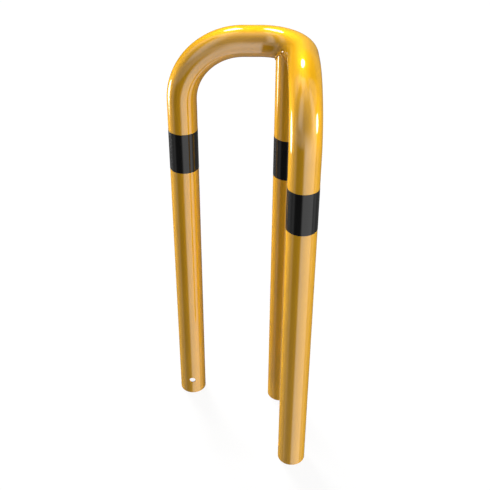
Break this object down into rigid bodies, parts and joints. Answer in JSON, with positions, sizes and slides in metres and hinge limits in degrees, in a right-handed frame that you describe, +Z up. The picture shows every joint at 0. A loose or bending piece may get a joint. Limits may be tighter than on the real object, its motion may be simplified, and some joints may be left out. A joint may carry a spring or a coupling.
{
  "type": "corner protection guard",
  "caption": "Bent steel tube guard with a straight post welded under its corner, coated yellow with black film bands, set in the ground to shield a building corner from vehicle knocks.",
  "frame": {"origin": "on the foot plane, in the middle of the square that the guard stands in", "axes": "+Z up; the left leg stands at -X +Y, the right leg at +X -Y, and the guarded corner lies at +X +Y"},
  "size_m": [0.3697, 0.3696, 1.17],
  "materials": {
    "yellow_coat": "gloss powder coat",
    "black_film": "gloss film"
  },
  "bodies": {
    "root": {"hoop_tube": "yellow_coat", "corner_post": "yellow_coat", "band_left": "black_film", "band_corner": "black_film", "band_right": "black_film"}
  },
  "joints": []
}
